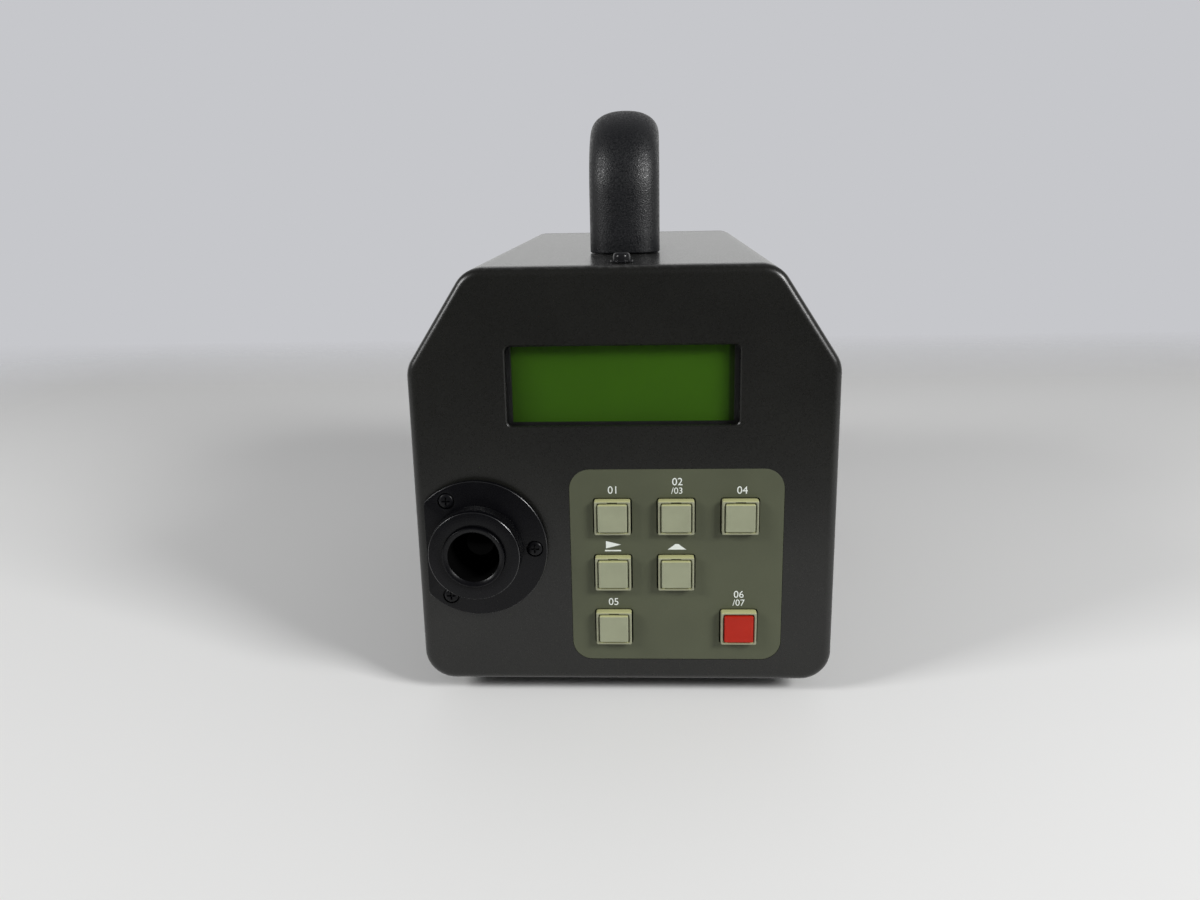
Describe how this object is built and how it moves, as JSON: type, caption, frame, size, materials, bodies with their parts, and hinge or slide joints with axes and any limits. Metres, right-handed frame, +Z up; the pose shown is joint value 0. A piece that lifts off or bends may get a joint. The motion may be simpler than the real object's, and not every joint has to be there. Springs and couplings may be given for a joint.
{
  "type": "spectroradiometer",
  "caption": "Portable spectroradiometer with a top carrying handle, side eyepiece, character display, square keys, focusing objective lens and a connector bay.",
  "frame": {"origin": "middle of the footprint's bounding box, on the surface that the feet stand on", "axes": "+Z up; +Y from the operator's panel towards the objective lens; +X to the right of the operator, who looks along +Y"},
  "size_m": [0.15, 0.3202, 0.2124],
  "materials": {
    "panel_paint": "satin charcoal paint",
    "cover_paint": "satin charcoal paint",
    "black_anodised": "black anodised, satin",
    "handle_plastic": "fine moulded grain",
    "overlay_film": "printed matt film",
    "key_grey": "moulded, satin",
    "key_red": "moulded, satin",
    "display_green": "liquid crystal cell",
    "clear_pane": "clear",
    "lens_glass": "coated",
    "plated_steel": "plated",
    "black_steel": "black oxide",
    "cast_metal": "as cast",
    "circuit_board": "solder mask",
    "mirror_coat": "coated",
    "foot_rubber": "matt",
    "black_plastic": "moulded"
  },
  "bodies": {
    "chassis": {"aperture_mirror": "mirror_coat", "base_plate": "cast_metal", "concave_grating": "mirror_coat", "connector_bay": "panel_paint", "cover": "cover_paint", "cover_screw_front": "black_steel", "cover_screw_rear": "black_steel", "display_board": "circuit_board", "display_frame": "black_steel", "display_glass": "display_green", "display_window": "clear_pane", "enter_bezel": "key_grey", "eyepiece_flange": "black_anodised", "finder_mirror": "mirror_coat", "finder_tube": "black_anodised", "flange_screw_1": "black_steel", "flange_screw_2": "black_steel", "flange_screw_3": "black_steel", "foot_front_left": "foot_rubber", "foot_front_right": "foot_rubber", "foot_rear_left": "foot_rubber", "foot_rear_right": "foot_rubber", "front_panel": "panel_paint", "handle": "handle_plastic", "handle_strap": "plated_steel", "key_board": "circuit_board", "keypad_overlay": "overlay_film", "lens_mount": "black_anodised", "main_board": "circuit_board", "measure_bezel": "key_grey", "memory_bezel": "key_grey", "menu_bezel": "key_grey", "optical_bench": "cast_metal", "power_jack": "black_plastic", "rear_panel": "panel_paint", "right_bezel": "key_grey", "select_bezel": "key_grey", "sensor_board": "circuit_board", "serial_connector": "plated_steel", "spectrograph_box": "cast_metal", "spectrograph_lid": "cast_metal", "switch_frame": "black_plastic", "tripod_socket": "plated_steel", "up_bezel": "key_grey", "wheel_motor": "plated_steel"},
    "dioptre_ring": {"dioptre_ring": "black_anodised"},
    "eyepiece_barrel": {"eyepiece_barrel": "black_anodised", "eyepiece_lens": "lens_glass"},
    "focus_ring": {"focus_ring": "black_anodised"},
    "lens_head": {"objective_barrel": "black_anodised", "objective_lens": "lens_glass"},
    "filter_wheel": {"filter_wheel": "black_anodised"},
    "power_rocker": {"power_rocker": "black_plastic"},
    "menu_key": {"menu_key": "key_grey"},
    "select_key": {"select_key": "key_grey"},
    "enter_key": {"enter_key": "key_grey"},
    "right_key": {"right_key": "key_grey"},
    "up_key": {"up_key": "key_grey"},
    "memory_key": {"memory_key": "key_grey"},
    "measure_key": {"measure_key": "key_red"}
  },
  "joints": [
    {"name": "menu_key_press", "type": "slide", "parent": "chassis", "child": "menu_key", "axis": [0, 1, 0], "range_m": [0, 0.0015], "stiffness_N_per_m": 400, "springref_m": -0.002},
    {"name": "select_key_press", "type": "slide", "parent": "chassis", "child": "select_key", "axis": [0, 1, 0], "range_m": [0, 0.0015], "stiffness_N_per_m": 400, "springref_m": -0.002},
    {"name": "enter_key_press", "type": "slide", "parent": "chassis", "child": "enter_key", "axis": [0, 1, 0], "range_m": [0, 0.0015], "stiffness_N_per_m": 400, "springref_m": -0.002},
    {"name": "right_key_press", "type": "slide", "parent": "chassis", "child": "right_key", "axis": [0, 1, 0], "range_m": [0, 0.0015], "stiffness_N_per_m": 400, "springref_m": -0.002},
    {"name": "up_key_press", "type": "slide", "parent": "chassis", "child": "up_key", "axis": [0, 1, 0], "range_m": [0, 0.0015], "stiffness_N_per_m": 400, "springref_m": -0.002},
    {"name": "memory_key_press", "type": "slide", "parent": "chassis", "child": "memory_key", "axis": [0, 1, 0], "range_m": [0, 0.0015], "stiffness_N_per_m": 400, "springref_m": -0.002},
    {"name": "measure_key_press", "type": "slide", "parent": "chassis", "child": "measure_key", "axis": [0, 1, 0], "range_m": [0, 0.0015], "stiffness_N_per_m": 400, "springref_m": -0.002},
    {"name": "dioptre_turn", "type": "hinge", "parent": "chassis", "child": "dioptre_ring", "pos_m": [-0.0526, -0.15855, 0.059], "axis": [0, 1, 0], "range_deg": [-90, 90]},
    {"name": "eyepiece_slide", "type": "slide", "parent": "chassis", "child": "eyepiece_barrel", "axis": [0, 1, 0], "range_m": [-0.0015, 0.0015]},
    {"name": "focus_turn", "type": "hinge", "parent": "chassis", "child": "focus_ring", "pos_m": [0, 0.08205, 0.059], "axis": [0, 1, 0], "range_deg": [0, 200]},
    {"name": "lens_slide", "type": "slide", "parent": "chassis", "child": "lens_head", "axis": [0, 1, 0], "range_m": [0, 0.01]},
    {"name": "filter_turn", "type": "hinge", "parent": "chassis", "child": "filter_wheel", "pos_m": [-0.016, -0.00195, 0.059], "axis": [0, 1, 0], "continuous": true},
    {"name": "power_switch_tilt", "type": "hinge", "parent": "chassis", "child": "power_rocker", "pos_m": [0.0646, 0.04255, 0.043], "axis": [0, 1, 0], "range_deg": [0, 18]}
  ],
  "couplings": [
    {"joint": "eyepiece_slide", "follows": "dioptre_turn", "m_per_rad": 0.00095},
    {"joint": "lens_slide", "follows": "focus_turn", "m_per_rad": 0.00286}
  ]
}
